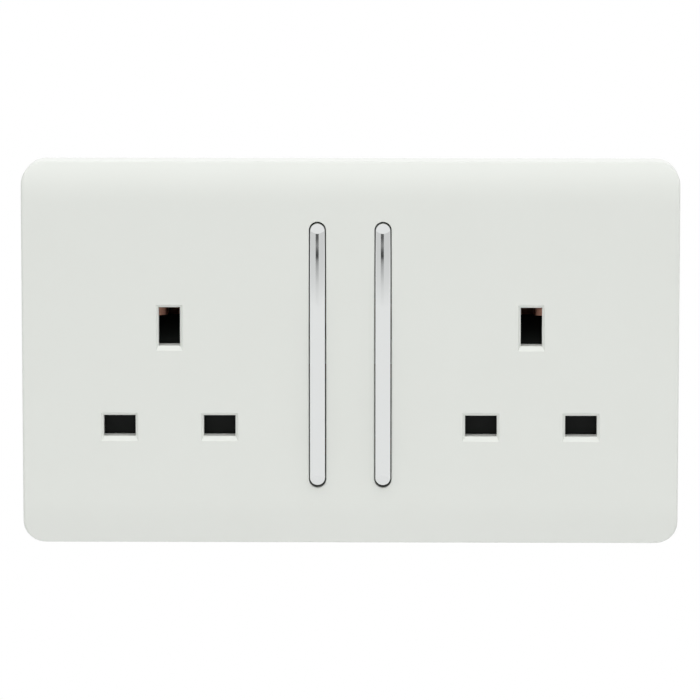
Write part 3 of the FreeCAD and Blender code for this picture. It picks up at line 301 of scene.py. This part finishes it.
def colour(value):
    """A colour signal as it is, or a red, green and blue with full cover added."""
    return value if isinstance(value, Signal) else tuple(value) + (1.0,)


def mixed(place, share, first, second):
    """A colour between two colours by a share."""
    inputs = {"Factor_Float": share, "A_Color": colour(first), "B_Color": colour(second)}
    return place.node("Mix", {"data_type": "RGBA"}, inputs, "Result_Color")


def noise(place, grain, detail, stretch=EVEN):
    """Cloudy noise from 0 to 1: spots about one grain across, drawn out along each axis by its stretch."""
    scale = tuple(1.0 / (grain * factor) for factor in stretch)
    spot = place.node("Mapping", None, {"Vector": place, "Scale": scale})
    return place.node("TexNoise", None, {"Vector": spot, "Scale": 1.0, "Detail": detail})


def share_between(place, value, limits):
    """How far a value has come from the first limit to the second, from 0 to 1."""
    return place.node("MapRange", None, {"Value": value, "From Min": limits[0], "From Max": limits[1]})


def bump(place, height, depth):
    """A surface normal tilted by a height signal of a given depth."""
    return place.node("Bump", None, {"Height": height, "Distance": depth, "Strength": 1.0})


def finish_surface(material, place, base, roughness, normal, fixed):
    """Ends a material in one shader: varying colour, roughness and normal, with the rest fixed."""
    inputs = {"Base Color": colour(base), "Roughness": roughness, "Normal": normal}
    inputs.update(fixed)
    shader = place.node("BsdfPrincipled", None, inputs)
    place.node("OutputMaterial", None, {"Surface": shader})
    return material


def moulding(name, light, dark, roughness, grain, depth, fixed=None):
    """Moulded plastic: a faint cloud of two shades, uneven gloss and a fine grain in the surface."""
    material, place = new_material(name)
    cloud = noise(place, CLOUD_GRAIN, CLOUD_DETAIL)
    fine = noise(place, grain, FINE_DETAIL)
    base = mixed(place, cloud, dark, light)
    gloss = roughness + CLOUD_SPREAD * (cloud - NOISE_MIDDLE) + FINE_SPREAD * (fine - NOISE_MIDDLE)
    return finish_surface(material, place, base, gloss, bump(place, fine, depth), fixed or {})


def drawn_metal(name, bright, dull, roughness, along, painted_deep_shade=None):
    """Rolled or drawn metal: fine lines one way, tarnished patches, and perhaps a painted shade that
    darkens it deeper in the part.
    """
    material, place = new_material(name)
    patches = noise(place, PATCH_GRAIN, PATCH_DETAIL)
    lines = noise(place, LINE_GRAIN, LINE_DETAIL, along)
    tarnish = place.node("ValToRGB", {"stops": TARNISH_STOPS}, {"Fac": patches})
    base = mixed(place, tarnish, bright, dull)
    # Painted shade: the colour darkens with depth along Y, so the copper seen deep in the earth apertures
    # looks shaded
    if painted_deep_shade:
        depth = place.node("SeparateXYZ", None, {"Vector": place}, "Y")
        base = mixed(place, share_between(place, depth, PAINTED_SHADE_DEPTHS), base, painted_deep_shade)
    gloss = roughness + PATCH_SPREAD * (patches - PATCH_MIDDLE) + LINE_SPREAD * (lines - NOISE_MIDDLE)
    normal = bump(place, lines, LINE_DEPTH)
    return finish_surface(material, place, base, gloss, normal, {"Metallic": 1.0})


def chrome(name):
    """Polished chrome plate: mirror bright, with the faintest haze of handling."""
    material, place = new_material(name)
    haze = noise(place, HAZE_GRAIN, HAZE_DETAIL)
    ripple = noise(place, RIPPLE_GRAIN, RIPPLE_DETAIL)
    base = mixed(place, haze, *CHROME_SHADES)
    gloss = CHROME_ROUGHNESS + HAZE_SPREAD * haze
    normal = bump(place, ripple, RIPPLE_DEPTH)
    return finish_surface(material, place, base, gloss, normal, {"Metallic": 1.0})


def all_finishes():
    """Every finish of the part by the name of its slot."""
    finishes = {"rocker_chrome": chrome("rocker_chrome")}
    for name, values in MOULDINGS.items():
        finishes[name] = moulding(name, **values)
    for name, values in METALS.items():
        finishes[name] = drawn_metal(name, **values)
    return finishes


def dress_nodes():
    """Gives every node of the part the finish that its record names."""
    for entry in frame["record"]["subparts"]:
        slots = frame["nodes"][entry["node"]].data.materials
        slots.clear()
        slots.append(FINISHES[entry["material_slot"]])


def cap_front(x, z):
    """Depth of a cap's front over a spot of its outline, in millimetres.

    The crown is the sag of an arc across the cap. The bow is an arc along it, of a radius less the crown.
    Past each knee a straight slope falls back, and the deeper of bow and slope is kept, with a small blend.
    Within one edge radius of the pill outline the front turns back along a quarter circle.
    """
    half_width = CAP_WIDTH / 2
    knee = CAP_LENGTH / 2 - CAP_END_LENGTH
    knee_y = CAP_FACE_Y - CAP_PROUD
    axis_y = knee_y + math.sqrt(CAP_BOW_RADIUS ** 2 - knee ** 2)
    crown = CAP_CROWN_RADIUS - np.sqrt(CAP_CROWN_RADIUS ** 2 - x ** 2)
    bow = axis_y - np.sqrt((CAP_BOW_RADIUS - crown) ** 2 - z ** 2)
    slope = knee_y + CAP_END_FALL * (np.abs(z) - knee) / CAP_END_LENGTH
    front = (bow + slope + np.hypot(bow - slope, CAP_KNEE_BLEND)) / 2
    from_middle = np.hypot(x, np.maximum(np.abs(z) - CAP_LENGTH / 2 + half_width, 0))
    turn = np.clip(from_middle - half_width + CAP_EDGE_RADIUS, 0, CAP_EDGE_RADIUS)
    return front + CAP_EDGE_RADIUS - np.sqrt(CAP_EDGE_RADIUS ** 2 - turn ** 2)


def cap_points(x):
    """Points of a cap as a grid of stations along it and a closed section across each, in metres.

    Stations crowd towards the ends by a sine, and go round each end by equal angles. The section's width is
    the chord of the pill there: front points by a cosine from edge to edge, then the two back corners.
    The grid is turned by the tilt about the pivot.
    """
    half_width = CAP_WIDTH / 2
    straight = CAP_LENGTH / 2 - half_width
    angle = np.linspace(0, math.pi / 2, CAP_END_STATIONS)
    run = straight * np.sin(np.linspace(-math.pi / 2, math.pi / 2, CAP_STATIONS))
    end = straight + half_width * np.sin(angle)
    chord = half_width * np.cos(angle)
    chord[-1] = 0
    z = np.concatenate([-end[:0:-1], run, end[1:]])[:, None]
    reach = np.concatenate([chord[:0:-1], np.full(CAP_STATIONS, half_width), chord[1:]])[:, None]
    across = -np.cos(np.linspace(0, math.pi, CAP_FRONT_POINTS))
    section_x = reach * np.concatenate([across, [1, -1]])
    section_y = np.full(section_x.shape, CAP_BACK_Y)
    section_y[:, :CAP_FRONT_POINTS] = cap_front(section_x[:, :CAP_FRONT_POINTS], z)
    depth = section_y - CAP_PIVOT_Y
    y = CAP_PIVOT_Y + depth * math.cos(CAP_TILT) + z * math.sin(CAP_TILT)
    up = CAP_MIDDLE_Z - depth * math.sin(CAP_TILT) + z * math.cos(CAP_TILT)
    return np.stack([x + section_x, y, up], axis=-1) * MM


def tube_faces(rows, columns):
    """Four-cornered faces of a grid whose columns close on themselves, as corner numbers."""
    here = np.arange(rows * columns).reshape(rows, columns)
    beside = np.roll(here, -1, axis=1)
    return np.stack([here[:-1], beside[:-1], beside[1:], here[1:]], axis=-1).reshape(-1, 4)


def smooth_piece(name, points, slot, body, node):
    """A smooth closed piece that stands for a node of the part and rides on its body.

    The points are a grid whose columns close on themselves.
    Its end rows shrink to a point and are welded there.
    """
    mesh = bpy.data.meshes.new(name)
    mesh.from_pydata(points.reshape(-1, 3), [], tube_faces(*points.shape[:2]))
    form = bmesh.new()
    form.from_mesh(mesh)
    bmesh.ops.remove_doubles(form, verts=form.verts, dist=WELD)
    bmesh.ops.recalc_face_normals(form, faces=form.faces)
    form.to_mesh(mesh)
    form.free()
    mesh.shade_smooth()
    mesh.set_sharp_from_angle(angle=CREASE)
    mesh.materials.append(FINISHES[slot])
    made = bpy.data.objects.new(name, mesh)
    bpy.context.scene.collection.objects.link(made)
    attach(made, body)
    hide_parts(node)
    return made


def chrome_cap(hand, x):
    """A mirror-smooth cap in place of the part's own, whose flat facets would break the reflection."""
    points = cap_points(x)
    smooth_piece("chrome_cap_" + hand, points, "rocker_chrome", "rocker_" + hand, "rocker_cap_" + hand)


def spring_points(foot, axis, radius, wire, turns, length):
    """Points of a wire spring: a grid of stations along a helix and a ring round each, in metres.

    Both the turn and the rise of a station are even shares of the whole. The ring lies in the plane of the
    axis and the outward direction there. The first and the last ring shrink to a point.
    """
    stations = turns * SPRING_STEPS + 1
    share = np.concatenate([[0], np.linspace(0, 1, stations), [1]])[:, None]
    thick = np.concatenate([[0], np.full(stations, wire / 2), [0]])[:, None]
    turn = 2 * math.pi * turns * share
    ring = np.linspace(0, 2 * math.pi, SPRING_RING_POINTS, endpoint=False)
    side = np.array([1.0, 0.0, 0.0])
    outward = np.cos(turn) * side + np.sin(turn) * np.cross(axis, side)
    reach = radius - wire / 2 + thick * np.cos(ring)
    rise = wire / 2 + (length - wire) * share + thick * np.sin(ring)
    return foot + MM * (reach[..., None] * outward[:, None, :] + rise[..., None] * axis)


def spring(node, body, joint, axis, radius, wire, turns, length, travel):
    """A wire spring in place of the part's own, built at its full length."""
    low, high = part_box(node)
    axis = np.array(axis)
    foot = np.array((low + high) / 2) - axis * length * MM / 2
    points = spring_points(foot, axis, radius, wire, turns, length - SPRING_GAP)
    made = smooth_piece("wire_" + node, points, "spring_steel", body, node)
    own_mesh(made)


def camera():
    """The photograph's camera: nearly square on, a little above, with a long lens."""
    centre = Vector((0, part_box("front_plate")[0].y, 0))
    back = Vector((math.sin(CAMERA_AZIMUTH) * math.cos(CAMERA_ELEVATION),
                   -math.cos(CAMERA_AZIMUTH) * math.cos(CAMERA_ELEVATION), math.sin(CAMERA_ELEVATION)))
    data = bpy.data.cameras.new("camera")
    data.sensor_width = SENSOR_WIDTH
    data.lens = CAMERA_LENS
    data.clip_end = CAMERA_REACH
    made = bpy.data.objects.new("camera", data)
    bpy.context.scene.collection.objects.link(made)
    made.location = centre + back * CAMERA_DISTANCE
    aim = centre + Vector((AIM_RIGHT, 0, AIM_UP))
    made.rotation_euler = (aim - made.location).to_track_quat("-Z", "Y").to_euler()
    bpy.context.scene.camera = made


def area_light(name, place, size, power):
    """A square soft light at a place, turned to the part and kept out of sight and out of the chrome."""
    data = bpy.data.lights.new(name, "AREA")
    data.size = size
    data.energy = power
    made = bpy.data.objects.new(name, data)
    bpy.context.scene.collection.objects.link(made)
    made.location = place
    made.rotation_euler = (-Vector(place)).to_track_quat("-Z", "Y").to_euler()
    made.visible_camera = False
    made.visible_glossy = False


def seen_directly(start):
    """1 for camera, glossy and transmission rays, and 0 for the rays that carry soft light."""
    seen = start.node("LightPath", output="Is Camera Ray")
    for ray in ("Is Glossy Ray", "Is Transmission Ray"):
        seen = start.math("MAXIMUM", seen, start.node("LightPath", output=ray))
    return seen


def panel(name, corners, material):
    """A flat four-cornered stage piece."""
    mesh = bpy.data.meshes.new(name)
    mesh.from_pydata(corners, [], [(0, 1, 2, 3)])
    mesh.materials.append(material)
    made = bpy.data.objects.new(name, mesh)
    bpy.context.scene.collection.objects.link(made)
    return made


def floor():
    """A wide pale floor well below the part: white to the eye, with the part's shadow near its middle."""
    material, place = new_material("floor")
    flat = place.node("VectorMath", {"operation": "MULTIPLY"}, {0: place, 1: (1, 1, 0)})
    distance = place.node("VectorMath", {"operation": "LENGTH"}, {0: flat}, "Value")
    far = share_between(place, distance, FLOOR_FADE)
    share = seen_directly(place) * (1 - FLOOR_SHADOW_SHARE * (1 - far))
    matt = place.node("BsdfDiffuse", None, {"Color": colour(FLOOR_COLOUR)})
    plain = place.node("Emission", None, {"Color": WHITE, "Strength": 1.0})
    surface = place.node("MixShader", None, {0: share, 1: matt, 2: plain})
    place.node("OutputMaterial", None, {"Surface": surface})
    level = CAD_BOX[0].z - FLOOR_DROP
    half = FLOOR_HALF_SIZE
    corners = [(-half, -half, level), (half, -half, level), (half, half, level), (-half, half, level)]
    panel("floor", corners, material)


def glowing_panel(name, x, y, half_width, heights, levels):
    """A panel in front of the part, unseen by the camera, with a glow that changes with height."""
    material, place = new_material(name)
    low, high = heights
    height = place.node("SeparateXYZ", None, {"Vector": place}, "Z")
    share = share_between(place, height, heights)
    level = place.node("ValToRGB", {"stops": levels}, {"Fac": share})
    glow = place.node("Emission", None, {"Color": level})
    place.node("OutputMaterial", None, {"Surface": glow})
    left = x - half_width
    right = x + half_width
    corners = [(right, y, low), (left, y, low), (left, y, high), (right, y, high)]
    panel(name, corners, material).visible_camera = False


def world():
    """Even soft light from all round, seen as white."""
    made = bpy.data.worlds.new("studio")
    made.use_nodes = True
    made.node_tree.nodes.clear()
    start = Signal(made.node_tree, None)
    level = WORLD_LEVEL + (1 - WORLD_LEVEL) * seen_directly(start)
    glow = start.node("Background", None, {"Color": WHITE, "Strength": level})
    start.node("OutputWorld", None, {"Surface": glow})
    bpy.context.scene.world = made


FINISHES = all_finishes()
dress_nodes()
for hand, cap_x in CAP_SIDES.items():
    chrome_cap(hand, cap_x)
    spring("plunger_spring_" + hand, "rocker_" + hand, "toggle_" + hand, TOGGLE_AXIS, **TOGGLE_SPRING)
    spring("shutter_spring_" + hand, "socket", "shutter_" + hand, SHUTTER_AXIS, **SHUTTER_SPRING)
camera()
floor()
world()
for panel_name, values in PANELS.items():
    glowing_panel(panel_name, **values)
for light_name, light in LIGHTS.items():
    area_light(light_name, **light)
bpy.context.scene.view_settings.view_transform = "Standard"
